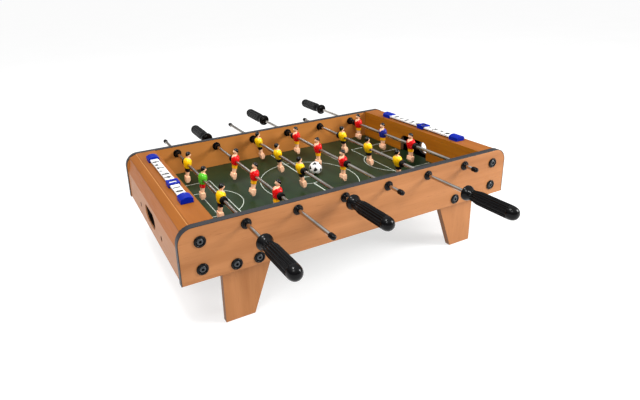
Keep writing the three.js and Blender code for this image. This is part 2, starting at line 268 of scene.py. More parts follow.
def cover_wood():
    """The end cover: laminate in deeper colours as painted shade, a paler end face as a painted reflection,
    painted shading on the slope and along the folds, raw edges at the slot and painted shade inside.
    """
    # Deeper laminate colours than the side panels, as painted shade.
    p = wood("wood_cover", "y", "#a26129", "#8a4f1b", shine=0.1)
    x = p.spread(0)
    z = p.axes()[2]
    # A painted reflection makes the end face paler.
    face = p.both(p.within(x, END_X - 0.3, END_X + 1), 0.8)
    color = p.mix(face, p.color(), srgb("#bb8560"))
    # The sloped face is painted more orange, as painted shading.
    slope_shading = p.both(p.within(x, SHOULDER_X + 0.3, END_X - 0.3), p.within(z, FACE_TOP_Z - 3, TOP_Z))
    color = p.mix(p.both(slope_shading, 0.6), color, srgb("#b16000"))
    # Painted shade and a painted highlight along the fold lines.
    for line, width, shade in FOLD_SHADING:
        offset = p.math("ABSOLUTE", p.math("SUBTRACT", x, line * MM))
        mask = p.between(offset, width * MM * 0.5, width * MM, 1, 0)
        color = p.mix(p.both(mask, 0.6), color, srgb(shade))

    # Raw board shows in the mouth of the slot and of the pilot holes; deeper in, painted shade darkens it.
    low = p.within(z, BOTTOM_Z + 0.4, FACE_TOP_Z - 5)
    sawn = p.both(p.within(x, WALL_X + 0.4, END_X - 0.4), low)
    grit = p.between(p.noise(700, 2), 0.3, 0.7)
    color = p.mix(sawn, color, p.mix(grit, srgb("#9c6c48"), srgb("#7d5232")))
    # Painted shadow inside the pilot holes.
    pilots = p.within(p.spread(1, MID_Y), PILOTS["y"] - 6, PILOTS["y"] + 6)
    color = p.mix(p.both(sawn, pilots), color, srgb("#1d120a"))
    # The cover's inner edge takes the wall's deeper colour, as painted shade.
    lip = p.both(p.within(x, WALL_X - 1, WALL_X + 0.2), 0.85)
    color = p.mix(lip, color, srgb("#ae6a14"))
    # Painted shade over the inside of the cover, in the ball pocket.
    high = p.within(z, BOTTOM_Z + 0.4, TOP_Z - END_T + 0.2)
    color = p.mix(p.both(p.within(x, WALL_X + 0.4, END_X - END_T + 0.2), high), color, srgb(POCKET_SHADE))
    # Darker painted shade deep in the pocket and the slot.
    deep = p.both(p.within(x, WALL_X + 0.4, END_X - 2.6), low)
    p.finish(Base_Color=p.mix(deep, color, srgb("#0e0805")))
    return p


def plastic(name, color, roughness=0.3, edge_wear_and_highlight="#8a8a8a", grain=500, shine=0.25):
    """Moulded plastic: a faint mottle, paler edges that are partly rubbed wear and partly a painted highlight, and
    fine surface texture.
    """
    p = Paint(name, Specular_IOR_Level=shine)
    speckle = p.noise(grain, 3)
    cloud = p.noise(35, 2)
    edges = p.node("ShaderNodeNewGeometry").outputs["Pointiness"]
    # Pointy edges are paler: partly rubbed wear, partly a painted edge highlight.
    rubbed_and_lit_edges = p.both(p.between(edges, 0.54, 0.62), 0.2)
    shade = tuple(c * 0.82 for c in srgb(color)[:3]) + (1,)
    tone = p.mix(p.between(cloud, 0.3, 0.7), srgb(color), shade)
    p.finish(Base_Color=p.mix(rubbed_and_lit_edges, tone, srgb(edge_wear_and_highlight)))
    p.finish(Roughness=p.between(speckle, 0.3, 0.7, roughness - 0.05, roughness + 0.08))
    p.bump(speckle, 0.02, 0.12)
    return p


def steel():
    """Bright plated steel drawn along Y, with fine lines and a little haze."""
    p = Paint("rod_steel", Metallic=1.0)
    lines = p.noise((900, 12, 900), 2)
    haze = p.noise((60, 20, 60), 3)
    p.finish(Base_Color=p.mix(p.between(haze, 0.3, 0.75), srgb("#d2ccc5"), srgb("#8d857d")))
    p.finish(Roughness=p.between(lines, 0.3, 0.7, 0.11, 0.19))
    p.bump(lines, 0.01, 0.06)
    return p


def pitch_green():
    """Dark green printed board under a soft gloss film, with scuffs where the ball runs."""
    p = Paint("pitch_green", Specular_IOR_Level=0.22)
    cloud = p.noise(11, 4)
    speckle = p.noise(1400, 2)
    scuffs = p.between(p.noise((260, 30, 1), 3, 0.6), 0.63, 0.72)
    color = p.mix(p.between(cloud, 0.3, 0.7), srgb("#1c2f17"), srgb("#132410"))
    color = p.mix(p.both(speckle, 0.18), color, srgb("#2f4727"))
    color = p.mix(p.both(scuffs, 0.08), color, srgb("#5d7560"))
    p.finish(Base_Color=color, Roughness=p.between(cloud, 0.3, 0.7, 0.36, 0.48))
    p.bump(speckle, 0.03, 0.3)
    return p


def line_white():
    """Screen printed line ink, thin in places."""
    p = Paint("line_ink")
    wear = p.between(p.noise(420, 3), 0.58, 0.75)
    p.finish(Base_Color=p.mix(p.both(wear, 0.45), srgb("#c4cdc2"), srgb("#6d806f")))
    p.finish(Roughness=p.between(wear, 0, 1, 0.4, 0.55))
    return p


def ball_skin():
    """White ball with the black pentagons of a football."""
    p = Paint("ball_skin", Coat_Weight=0.3)
    length = p.node("ShaderNodeVectorMath", {0: p.where}, operation="NORMALIZE").outputs[0]
    black = strongest(p, length, PENTAGON_AXES)
    white = strongest(p, length, HEXAGON_AXES)
    mask = p.between(p.math("SUBTRACT", p.both(black, SPOT), white), -0.004, 0.004)
    dirt = p.noise(160, 4)
    pale = p.mix(p.between(dirt, 0.45, 0.8), srgb("#f4f4f2"), srgb("#d9d9d4"))
    p.finish(Base_Color=p.mix(mask, pale, srgb("#131314")))
    p.finish(Roughness=p.between(dirt, 0.3, 0.7, 0.28, 0.42))
    p.bump(p.noise(900, 2), 0.03, 0.3)
    return p


def strongest(p, direction, axes):
    """How closely a direction points along the nearest of some axes."""
    best = 0.0
    for axis in axes:
        best = p.math("MAXIMUM", best, p.math("ABSOLUTE", p.dot(direction, axis)))
    return best


def player_paint(name, shirt, shorts):
    """Brushed-on colours of one player, split where the mould has its steps."""
    p = Paint(name, Specular_IOR_Level=0.35)
    wobble = p.both(p.math("SUBTRACT", p.noise(500, 2), 0.5), 0.7 * MM)
    x, y, z = p.axes()
    z = p.math("ADD", z, wobble)
    skin = p.mix(p.noise(220, 2), srgb(SKIN), srgb(SKIN_PALE))

    def above(height):
        """One over a height in millimetres, with a soft edge."""
        return p.between(z, (height - 0.12) * MM, (height + 0.12) * MM)

    color = p.mix(above(SHORTS_HEM), skin, srgb(shorts))
    color = p.mix(above(SHIRT_HEM), color, srgb(shirt))
    color = p.mix(above(COLLAR_Z), color, skin)
    vee = p.math("SUBTRACT", z, p.both(p.math("ABSOLUTE", y), VEE_SLOPE))
    vee = p.both(p.between(vee, (VEE_Z - 0.15) * MM, (VEE_Z + 0.15) * MM), above(SHIRT_HEM))
    color = p.mix(p.both(vee, p.math("GREATER_THAN", x, 0.0)), color, skin)
    hairline = p.math("SUBTRACT", z, p.both(x, HAIR_SLOPE))
    hair = p.between(hairline, (HAIR_Z - 0.15) * MM, (HAIR_Z + 0.15) * MM)
    color = p.mix(p.both(hair, above(HAIR_LOW)), color, srgb(HAIR))
    p.finish(Base_Color=color, Roughness=p.between(p.noise(300, 3), 0.3, 0.7, 0.2, 0.34))
    p.bump(p.noise(700, 3), 0.05, 0.3)
    return p


# ---- Shapes ----


def loft(rings, loop=False):
    """Skin over rings of equal length, closed by a face at each end, or looped on itself."""
    count = len(rings[0])
    verts = [tuple(point) for ring in rings for point in ring]
    faces = []
    for level in range(len(rings) if loop else len(rings) - 1):
        above = (level + 1) % len(rings)
        for i in range(count):
            j = (i + 1) % count
            faces.append((level * count + i, level * count + j, above * count + j, above * count + i))
    if not loop:
        faces.append(tuple(reversed(range(count))))
        faces.append(tuple(range(len(verts) - count, len(verts))))
    return verts, faces


def polygon(radius, z, sides, corners=None):
    """A ring of points: a circle, or a polygon with that many corners."""
    ring = []
    for i in range(sides):
        angle = 2 * math.pi * i / sides
        reach = radius
        if corners:
            part = 2 * math.pi / corners
            reach = radius * math.cos(part / 2) / math.cos(angle % part - part / 2)
        ring.append((reach * math.cos(angle), reach * math.sin(angle), z))
    return ring


def turned(profile, sides=ROUND, loop=False):
    """A turned shape about Z from (radius, z) pairs, from low to high on its outside."""
    return loft([polygon(r, z, sides) for r, z in profile], loop)


def softened(points, radius, closed=False, steps=3):
    """The same outline with every corner replaced by a short curve."""
    result = []
    for i, point in enumerate(points):
        if not closed and i in (0, len(points) - 1):
            result.append(tuple(point))
            continue
        here = Vector(point)
        before = Vector(points[i - 1]) - here
        after = Vector(points[(i + 1) % len(points)]) - here
        start = here + before.normalized() * min(radius, before.length / 2)
        end = here + after.normalized() * min(radius, after.length / 2)
        for step in range(steps + 1):
            t = step / steps
            result.append(tuple(start * (1 - t) ** 2 + here * 2 * t * (1 - t) + end * t * t))
    return result


def arc(cx, cy, r, start, end, steps=ARC_STEPS):
    """Points on part of a circle, between two angles in degrees."""
    angles = [math.radians(start + (end - start) * i / steps) for i in range(steps + 1)]
    return [(cx + r * math.cos(a), cy + r * math.sin(a)) for a in angles]


def stadium(half, z, r):
    """A slot with round ends, from its centre line's half length, height and radius."""
    return [*arc(half, z, r, -90, 90), *arc(-half, z, r, 90, 270)]


def ellipse(half_x, half_y, steps):
    """Points round an ellipse, from its +X end."""
    angles = [math.tau * i / steps for i in range(steps)]
    return [(half_x * math.cos(a), half_y * math.sin(a)) for a in angles]


def rectangle(low_x, low_y, high_x, high_y):
    """The four corners of a rectangle, counter-clockwise."""
    return [(low_x, low_y), (high_x, low_y), (high_x, high_y), (low_x, high_y)]


def add_object(name, data):
    """A new object in the scene."""
    made = bpy.data.objects.new(name, data)
    bpy.context.scene.collection.objects.link(made)
    return made


def evaluated_mesh(holder):
    """A mesh of an object as it shows, with its curve settings or modifiers applied."""
    bpy.context.view_layer.update()
    shown = holder.evaluated_get(bpy.context.evaluated_depsgraph_get())
    return bpy.data.meshes.new_from_object(shown)


def curve_shape(curve):
    """Points and faces of a filled curve, which is then cleared away."""
    holder = add_object(curve.name, curve)
    mesh = evaluated_mesh(holder)
    shape = [tuple(v.co) for v in mesh.vertices], [tuple(f.vertices) for f in mesh.polygons]
    bpy.data.objects.remove(holder)
    bpy.data.curves.remove(curve)
    bpy.data.meshes.remove(mesh)
    return shape


def plate(outline, thickness, holes=(), bevel=0.4):
    """A flat board in XY, centred on z = 0, with its edges rounded over."""
    curve = bpy.data.curves.new("plate", "CURVE")
    curve.dimensions = "2D"
    curve.fill_mode = "BOTH"
    curve.extrude = thickness / 2 - bevel
    curve.bevel_depth = bevel
    curve.bevel_resolution = 2
    curve.offset = -bevel
    for points in (outline, *holes):
        spline = curve.splines.new("POLY")
        spline.points.add(len(points) - 1)
        spline.use_cyclic_u = True
        for target, (x, y) in zip(spline.points, points):
            target.co = (x, y, 0, 1)
    return curve_shape(curve)


def moved(shape, matrix):
    """A shape in a new place, with its faces still pointing out."""
    verts, faces = shape
    flip = matrix.to_3x3().determinant() < 0
    placed = [tuple(matrix @ Vector(v)) for v in verts]
    return placed, [tuple(reversed(f)) if flip else f for f in faces]


def build_mesh(name, parts):
    """One mesh from (shape, material) pairs, in metres, with merged seams and smooth faces."""
    mesh = bpy.data.meshes.new(name)
    verts, faces, picks = [], [], []
    for (points, polygons), paint in parts:
        if paint.material.name not in mesh.materials:
            mesh.materials.append(paint.material)
        pick = mesh.materials.find(paint.material.name)
        start = len(verts)
        verts += [tuple(c * MM for c in point) for point in points]
        faces += [tuple(start + i for i in face) for face in polygons]
        picks += [pick] * len(polygons)
    mesh.from_pydata(verts, [], faces)
    mesh.polygons.foreach_set("material_index", picks)
    weld(mesh)
    smooth(mesh, 38)
    return mesh


def weld(mesh):
    """Merge doubled points, and turn every face outward."""
    work = bmesh.new()
    work.from_mesh(mesh)
    bmesh.ops.remove_doubles(work, verts=work.verts, dist=1e-7)
    bmesh.ops.recalc_face_normals(work, faces=work.faces)
    work.to_mesh(mesh)
    work.free()


def smooth(mesh, crease):
    """Shade a mesh smooth, and leave edges sharper than an angle in degrees."""
    mesh.shade_smooth()
    mesh.set_sharp_from_angle(angle=math.radians(crease))


def piece(name, parts, body, replaces=(), place=None):
    """A visible piece that rides on a body, with the materials of its parts, and hides the CAD nodes it replaces.
    """
    mesh = parts if isinstance(parts, bpy.types.Mesh) else build_mesh(name, parts)
    made = add_object(name, mesh)
    even = made.modifiers.new("even", "WEIGHTED_NORMAL")
    even.keep_sharp = True
    if place:
        turn = place.to_3x3().to_4x4()
        made.matrix_world = Matrix.Translation(place.to_translation() * MM) @ turn
    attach(made, body)
    if replaces:
        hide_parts(*replaces)


def carry_over(node, paint, bevel=0.35):
    """A CAD node keeps its shape, and gets rounded edges and its material."""
    made = frame["nodes"][node]
    made.data.materials.clear()
    made.data.materials.append(paint.material)
    joined = made.modifiers.new("joined", "WELD")
    joined.merge_threshold = 0.01 * MM
    flat = made.modifiers.new("flat", "DECIMATE")
    flat.decimate_type = "DISSOLVE"
    flat.angle_limit = math.radians(1)
    rounding = made.modifiers.new("rounding", "BEVEL")
    rounding.width = bevel * MM
    rounding.segments = 2
    rounding.limit_method = "ANGLE"
    rounding.angle_limit = math.radians(30)
    rounding.harden_normals = True
    made.data.shade_smooth()


def cut(name, parts, cutters):
    """One mesh of the parts with every cutter taken away."""
    holder = add_object(name, build_mesh(name, parts))
    cutter = add_object("tool", build_mesh("tool", cutters))
    taken = holder.modifiers.new("taken", "BOOLEAN")
    taken.operation = "DIFFERENCE"
    taken.solver = "EXACT"
    taken.object = cutter
    mesh = evaluated_mesh(holder)
    for made in (holder, cutter):
        bpy.data.objects.remove(made)
    smooth(mesh, 20)
    return mesh


# ---- Cabinet ----


def panel_outline(inset):
    """The side panel's outline, with round top corners, made smaller by an inset."""
    r = CORNER_R - inset
    cx = HALF_LENGTH - CORNER_R
    cz = TOP_Z - CORNER_R
    return [
        (HALF_LENGTH - inset, BOTTOM_Z),
        *arc(cx, cz, r, 0, 90),
        *arc(-cx, cz, r, 90, 180),
        (-HALF_LENGTH + inset, BOTTOM_Z),
    ]


def upright_board(outline, thickness, y, holes=(), bevel=0.4):
    """A board drawn in X and Z that stands with its middle at y."""
    return moved(plate(outline, thickness, holes, bevel), at(0, y, 0) @ FACING_Y)


def side_panels(paint, trim):
    """The two long panels with their rod holes, each in its edge band."""
    for name, side in SIDES:
        y = MID_Y + side * (HALF_WIDTH - PANEL_T / 2)
        holes = [arc(rod_x(n), ROD_Z, BUSH_HOLE_R, 360, 15, 23) for n in RODS]
        board = upright_board(panel_outline(TRIM_T + 0.1), PANEL_T - 0.3, y, holes)
        piece(f"panel_{name}", [(board, paint)], "table", [f"side_panel_{name}"])
        edge = panel_outline(0) + list(reversed(panel_outline(TRIM_T)))
        strip = upright_board(edge, PANEL_T, y, bevel=0.45)
        piece(f"edge_band_{name}", [(strip, trim)], "table", [f"edge_trim_{name}"])


def end_covers(paint):
    """The folded end covers with their ball exit, pilot holes, pocket floor and end cheeks."""
    outer = [
        (WALL_X, TOP_Z),
        (FOLD_X, TOP_Z),
        (SHOULDER_X, SHOULDER_Z),
        (END_X, FACE_TOP_Z),
        (END_X, BOTTOM_Z),
        (WALL_X, BOTTOM_Z),
        (WALL_X, LIP_Z),
    ]
    hollow = [(334, 109), (334, 156), (328.5, 184), (317.5, 187)]
    inner = [(290, LIP_Z), (290, 109), *hollow, (WALL_X, 187)]
    section = list(reversed(softened(outer, 1.2) + inner))
    cheek = [(334.5, 108.5), (334.5, 156), (328.5, 184), (317.5, 187.5), (292, 187.5), (292, 108.5)]
    half, r, z = SLOT["half"] - SLOT["r"], SLOT["r"], SLOT["z"]
    depth = END_T - SLOT["lip"]
    for end, sign in ENDS:
        flip = at(0, MID_Y, 0) @ (Matrix() if sign > 0 else HALF_TURN)
        board = moved(moved(plate(section, 2 * INSIDE - 0.6, bevel=0.12), FACING_Y), flip)

        # The slot goes right through, and is wider behind its lip.
        through = flip @ at(END_X - 4, 0, 0) @ ALONG_X
        behind = flip @ at(END_X - END_T + depth / 2 - 1, 0, 0) @ ALONG_X
        recess = stadium(half, z, r + SLOT["spare"])
        cutters = [
            (moved(plate(stadium(half, z, r), 20, bevel=0), through), paint),
            (moved(plate(recess, depth + 2, bevel=0), behind), paint),
        ]
        for y in (-PILOTS["y"], PILOTS["y"]):
            hole = turned([(PILOTS["r"], -PILOTS["depth"]), (PILOTS["r"], 5)], 24)
            cutters.append((moved(hole, flip @ at(END_X, y, PILOTS["z"]) @ ALONG_X), paint))
        mesh = cut("end_board", [(board, paint)], cutters)
        piece(f"end_board_{end}", mesh, "table", [f"end_cover_{end}"])
        for name, side in SIDES:
            y = side * sign * (INSIDE - 0.6 - CHEEK_T / 2)
            block = moved(upright_board(list(reversed(cheek)), CHEEK_T, y), flip)
            piece(f"cheek_{name}_{end}", [(block, paint)], "table")


def legs(paint):
    """Four boards whose inner edge slants out towards a narrow foot."""
    for name, _ in SIDES:
        for end, sign in ENDS:
            low, high = box_mm(f"leg_{name}_{end}")
            outer, top = (high.x, low.x) if sign > 0 else (low.x, high.x)
            foot = outer - sign * LEG_FOOT
            outline = [(foot, 0), (outer, 0), (outer, high.z), (top, high.z)]
            if sign < 0:
                outline.reverse()
            board = upright_board(outline, high.y - low.y, (low.y + high.y) / 2, bevel=0.5)
            piece(f"leg_board_{name}_{end}", [(board, paint)], "table", [f"leg_{name}_{end}"])


def goal_walls(paint):
    """The wall across each end of the pitch, with the goal mouth cut out of its lower edge."""
    half, r, top = GOAL["half"], GOAL["r"], GOAL["top"]
    for end, _ in ENDS:
        low, high = box_mm(f"goal_wall_{end}")
        outline = [
            (low.y, low.z),
            (MID_Y - half, low.z),
            *arc(MID_Y - half + r, top - r, r, 180, 90, 8),
            *arc(MID_Y + half - r, top - r, r, 90, 0, 8),
            (MID_Y + half, low.z),
            (high.y, low.z),
            (high.y, high.z),
            (low.y, high.z),
        ]
        place = at((low.x + high.x) / 2, 0, 0) @ ALONG_X
        board = moved(plate(outline, high.x - low.x, bevel=0.15), place)
        piece(f"goal_board_{end}", [(board, paint)], "table", [f"goal_wall_{end}"])


def screws(black, dark, hollow):
    """A dished black washer and a socket head screw at each fixing of the side panels."""
    ring = [
        (2.8, 0.2), (9.2, 0.0), (10, 0.5), (10, 1.2), (9.3, 2.3),
        (7.9, 2.9), (6.9, 2.5), (5.9, 0.7), (2.8, 0.7),
    ]
    washer = turned(softened(ring, 0.5, True, 2), loop=True)
    mouth = polygon(2.6, 2.3, 36, 6)
    dome = [polygon(r, z, 36) for r, z in ((5.4, 0.6), (5.4, 1.5), (4.7, 2.2), (3.4, 2.5))]
    head = loft([*dome, polygon(2.7, 2.5, 36, 6), mouth])
    head[1].pop()
    points, faces = loft([mouth, polygon(2.5, 1.0, 36, 6)])
    socket = points, faces[:-2] + faces[-1:]
    spots = [(x * sign, z) for x, z in SCREW_SPOTS for sign in (-1, 1)]
    for name, side in SIDES:
        for index, (x, z) in enumerate(sorted(spots), 1):
            turn = Matrix.Rotation(random.uniform(0, math.pi), 4, "Z")
            face = at(x, MID_Y + side * (HALF_WIDTH - 0.15), z) @ (ALONG_Y if side > 0 else FACING_Y)
            parts = [
                (moved(washer, face), black),
                (moved(head, face @ turn), dark),
                (moved(socket, face @ turn), hollow),
            ]
            piece(f"screw_{name}_{index}", parts, "table")


# ---- Pitch ----

# The print sits a little off the middle of the board, and its centre circle isn't quite round.
LINE_W = 1.4
PRINT_X = -3
PRINT_Y = MID_Y - 2
CENTRE_CIRCLE = (103, 112)
CENTRE_SPOT_R = 19
HALFWAY_END = 188
AREAS = ((113, 185), (58, 226))
BULGE = {"x": 225, "r": 67, "spread": 53}

# Heights of the ink. Lines that run under others are a little lower, so that no faces coincide.
INK_LOW, INK_HIGH = 0.1, 0.12


def band(points, z_top, closed=False):
    """A printed line of even width along points on the pitch."""
    rings = []
    count = len(points)
    for i, (x, y) in enumerate(points):
        before = points[i - 1] if closed or i else points[i]
        after = points[(i + 1) % count] if closed or i < count - 1 else points[i]
        first = (Vector((x, y)) - Vector(before)).normalized()
        second = (Vector(after) - Vector((x, y))).normalized()
        first, second = (first or second), (second or first)
        side = Vector((-(first + second).y, (first + second).x)).normalized()
        side *= LINE_W / 2 / max(0.5, side.dot(Vector((-first.y, first.x))))
        low, high = PITCH_Z + 0.01, PITCH_Z + z_top
        corners = [(side, low), (-side, low), (-side, high), (side, high)]
        rings.append([(x + s.x, y + s.y, z) for s, z in corners])
    return loft(rings, closed)


def pitch_lines(ink):
    """All the printed lines, as one piece."""
    lines = []

    def line(points, z_top, closed=False):
        """Add a line, given from the middle of the print."""
        lines.append((band([(PRINT_X + x, PRINT_Y + y) for x, y in points], z_top, closed), ink))

    line(ellipse(*CENTRE_CIRCLE, 96), INK_LOW, True)
    line(ellipse(CENTRE_SPOT_R, CENTRE_SPOT_R, 48), INK_LOW, True)
    bulge = arc(0, 0, BULGE["r"], -BULGE["spread"], BULGE["spread"], 36)
    for side in (-1, 1):
        line([(0, side * (CENTRE_SPOT_R + 0.5)), (0, side * HALFWAY_END)], INK_HIGH)
        for half, x in AREAS:
            corners = ((WALL_X, half), (x, half), (x, -half), (WALL_X, -half))
            line([(side * cx, cy) for cx, cy in corners], INK_LOW)
        line([(side * (BULGE["x"] - x), y) for x, y in bulge], INK_HIGH)
    piece("pitch_lines", lines, "table")


# ---- Score counters ----

# Heights are over the cover that the counter stands on.
BLOCK = {"half": 11, "length": 24, "shoulder": 7.6, "top": 11.4}
STRIP = {"half": 8, "thick": 3.5, "middle": 4.75, "inset": 20}
DIGITS = {"size": 15.5, "bold": 1.3, "thick": 0.08, "z": 6.58, "step": 18.9}
CURSOR = {"cap": 2, "wall": 1.1, "window_x": 7, "window_y": 5.2}


def digit(text):
    """One raised numeral lying in XY, centred on the origin."""
    curve = bpy.data.curves.new("digit", "FONT")
    curve.body = text
    curve.size = DIGITS["size"]
    curve.extrude = DIGITS["thick"]
    curve.offset = DIGITS["bold"]
    curve.align_x = "CENTER"
    curve.align_y = "CENTER"
    return curve_shape(curve)


def counters(white, blue, black):
    """The number strip on each cover, held by two arched end blocks, with its numerals and slider."""
    half, length = BLOCK["half"], BLOCK["length"]
    rise = BLOCK["top"] - BLOCK["shoulder"]
    arch_r = (half ** 2 + rise ** 2) / (2 * rise)
    spread = math.degrees(math.asin(half / arch_r))
    top = arc(0, BLOCK["top"] - arch_r, arch_r, 90 - spread, 90 + spread, 12)
    arch = [(-half, 0), (half, 0), *top]
    digits = [digit(str(value)) for value in range(10)]
    for end, sign in ENDS:
        low, high = box_mm(f"score_rail_{end}")
        x, base = (low.x + high.x) / 2, low.z
        wide, inset = STRIP["half"], STRIP["inset"]
        outline = rectangle(x - wide, low.y + inset, x + wide, high.y - inset)
        strip = moved(plate(outline, STRIP["thick"], bevel=0.5), at(0, 0, base + STRIP["middle"]))
        piece(f"score_strip_{end}", [(strip, white)], "table", [f"score_rail_{end}"])
        for name, y in (("near", low.y + length / 2), ("far", high.y - length / 2)):
            block = moved(plate(arch, length, bevel=0.9), at(x, y, base) @ FACING_Y)
            piece(f"score_block_{end}_{name}", [(block, blue)], "table")

        # The numerals read from the pitch side, with zero at the reader's left.
        turn = Matrix.Rotation(-sign * math.pi / 2, 4, "Z")
        numerals = []
        for value, shape in enumerate(digits):
            y = (low.y + high.y) / 2 - sign * (value - 4.5) * DIGITS["step"]
            numerals.append((moved(shape, at(x, y, base + DIGITS["z"]) @ turn), black))
        piece(f"score_numerals_{end}", numerals, "table")
        slider(end, x, base, blue)


def slider(end, x, base, blue):
    """The window that frames one numeral: a cap with an opening, on a skirt each side of the strip."""
    low, high = box_mm(f"score_slider_{end}")
    y = (low.y + high.y) / 2
    half_x, half_y = (high.x - low.x) / 2, (high.y - low.y) / 2
    top_z = high.z - base
    outline = softened(rectangle(-half_x, -half_y, half_x, half_y), 1.5, True)
    open_x, open_y = CURSOR["window_x"], CURSOR["window_y"]
    window = [(-open_x, -open_y), (-open_x, open_y), (open_x, open_y), (open_x, -open_y)]
    cap = plate(outline, CURSOR["cap"], [softened(window, 0.8, True)], 0.4)
    parts = [(moved(cap, at(x, y, base + top_z - CURSOR["cap"] / 2)), blue)]
    for side in (-1, 1):
        skirt_x = side * (half_x - CURSOR["wall"])
        skirt = rectangle(skirt_x - CURSOR["wall"], 1, skirt_x + CURSOR["wall"], top_z - 1)
        parts.append((moved(plate(skirt, 2 * half_y - 3, bevel=0.3), at(x, y, base) @ FACING_Y), blue))
    piece(f"score_window_{end}", parts, f"slider_{end}", [f"score_slider_{end}"])


# ---- Rods ----

# Distance of the two bumper rings from the middle of the rod: the handle's side, and the free side.
BUMPERS = (111.6, 118)

# The handle's outline, as distance from its collar rim and radius.
GRIP_PROFILE = (
    (0, 12.4), (0.8, 13.5), (2.2, 13.8), (3.8, 13.6), (6, 12.8), (9, 11.0), (12, 9.9), (16, 9.6),
    (20, 10.0), (24, 11.0), (28, 11.8), (33, 12.0), (92, 12.0), (96, 11.5), (99.5, 10.2),
    (102.2, 8.0), (104.1, 5.0), (104.9, 2.0), (105, 0.5),
)
GRIP_STOPS = (
    0, 0.4, 0.8, 1.4, 2.2, 3, 3.8, 5, 6, 7.5, 9, 10.5, 12, 14, 16, 17.5, 19, 21, 24, 26, 28, 30, 33,
    *range(36, 85, 4), 86, 88, 89, 90, 91, 92.5, 94, 96, 98, 99.5, 101, 102.2, 103.2,
    104.1, 104.6, 104.9, 105,
)
FLUTES = 18
GRIP_SIDES = 9 * FLUTES
FLUTE = {"depth": 1.5, "start": 14, "run_in": 4, "end": 91, "run_out": 2.5}


def rod_frame(n):
    """The side that a rod's handle is on, the rod's middle, and the matrix from there to the handle."""
    low, high = box_mm(f"rod_{n}")
    handle_low, handle_high = box_mm(f"handle_{n}")
    side = 1 if handle_low.y + handle_high.y > low.y + high.y else -1
    men = [box_mm(f"man_{n}_{name}") for name in ("near", "far")]
    middle = sum(corner.y for pair in men for corner in pair) / 4
    facing = at(rod_x(n), middle, ROD_Z) @ (ALONG_Y if side > 0 else FACING_Y)
    return side, middle, facing


def steel_rods(metal, rubber, black):
    """Each rod with the cap on its free end and its two bumper rings."""
    knob = [(0.4, 0), (2.6, 0.4), (4.2, 2), (4.9, 4.6), (4.9, 11.6), (4.4, 13), (3.4, 13)]
    ring = [(3.4, 0), (6.6, 0), (7.5, 0.9), (7.5, 5.4), (6.8, 6.4), (3.4, 6.4)]
    cap = turned(softened(knob, 0.6, steps=2), 32)
    bumper = turned(softened(ring, 0.5, True, 2), loop=True)
    for n in RODS:
        side, middle, facing = rod_frame(n)
        low, high = box_mm(f"rod_{n}")
        free = abs((low.y if side > 0 else high.y) - middle)
        held = abs((high.y if side > 0 else low.y) - middle)
        shaft = turned([(3.1, 11 - free), (ROD_R, 11.5 - free), (ROD_R, held - 0.5), (3.1, held)], 32)
        piece(f"steel_rod_{n}", [(moved(shaft, facing), metal)], f"rod_{n}", [f"rod_{n}"])
        end_cap = moved(cap, facing @ at(0, 0, -free))
        piece(f"rod_cap_{n}", [(end_cap, black)], f"rod_{n}")
        for name, z in (("near", BUMPERS[0]), ("far", -BUMPERS[1])):
            stop = moved(bumper, facing @ at(0, 0, z))
            piece(f"bumper_{name}_{n}", [(stop, rubber)], f"rod_{n}")


def bushings(black):
    """The domed flange outside and the nut inside each panel, round the rod."""
    outside = [
        (3.8, -0.2), (9.2, -0.2), (9.2, 1.0), (8.6, 1.9), (7.0, 2.3),
        (6.3, 2.5), (6.0, 4.2), (5.5, 4.8), (3.8, 4.8),
    ]
    inside = [(3.8, -0.2), (9.2, -0.2), (9.2, 1.2), (8.7, 1.9), (6.4, 2.1), (3.8, 2.1)]
    dome = turned(softened(outside, 0.35, True, 2), loop=True)
    flange = turned(softened(inside, 0.3, True, 2), loop=True)
    hexagons = [polygon(r, z, 36, 6) for r, z in ((6.2, 2.0), (6.7, 2.5), (6.7, 11.0), (6.2, 11.6))]
    nut = loft([*hexagons, polygon(3.8, 11.6, 36), polygon(3.8, 2.0, 36)], loop=True)
    sleeve = turned([(3.8, -12), (5.0, -12), (5.0, 0), (3.8, 0)], 32, loop=True)
    for name, side in SIDES:
        outward, inward = (ALONG_Y, FACING_Y) if side > 0 else (FACING_Y, ALONG_Y)
        for n in RODS:
            face = at(rod_x(n), MID_Y + side * (HALF_WIDTH + 0.1), ROD_Z) @ outward
            back = at(rod_x(n), MID_Y + side * (INSIDE - 0.1), ROD_Z) @ inward
            places = ((dome, face), (sleeve, face), (flange, back), (nut, back))
            parts = [(moved(shape, place), black) for shape, place in places]
            piece(f"bush_{name}_{n}", parts, "table", [f"bushing_{name}_{n}"])


def grip_radius(t):
    """Outer radius of the handle at the distance t from its collar rim."""
    for (t0, r0), (t1, r1) in zip(GRIP_PROFILE, GRIP_PROFILE[1:]):
        if t <= t1:
            return r0 + (r1 - r0) * (t - t0) / (t1 - t0)
    return GRIP_PROFILE[-1][1]


def grip():
    """The fluted handle, with its rod socket, along Z from the collar rim."""
    socket = ((3.9, 28.8), (3.9, 1.6), (9.6, 0.9), (10.6, 0))
    rings = [polygon(r, z, GRIP_SIDES) for r, z in socket]
    for t in GRIP_STOPS:
        radius = grip_radius(t)
        run_in = min(1, max(0, (t - FLUTE["start"]) / FLUTE["run_in"]))
        run_out = min(1, max(0, (FLUTE["end"] - t) / FLUTE["run_out"]))
        ring = []
        for i in range(GRIP_SIDES):
            angle = 2 * math.pi * i / GRIP_SIDES
            depth = FLUTE["depth"] * run_in * run_out * abs(math.sin(angle * FLUTES / 2)) ** 0.7
            ring.append(((radius - depth) * math.cos(angle), (radius - depth) * math.sin(angle), t))
        rings.append(ring)
    return loft(rings)


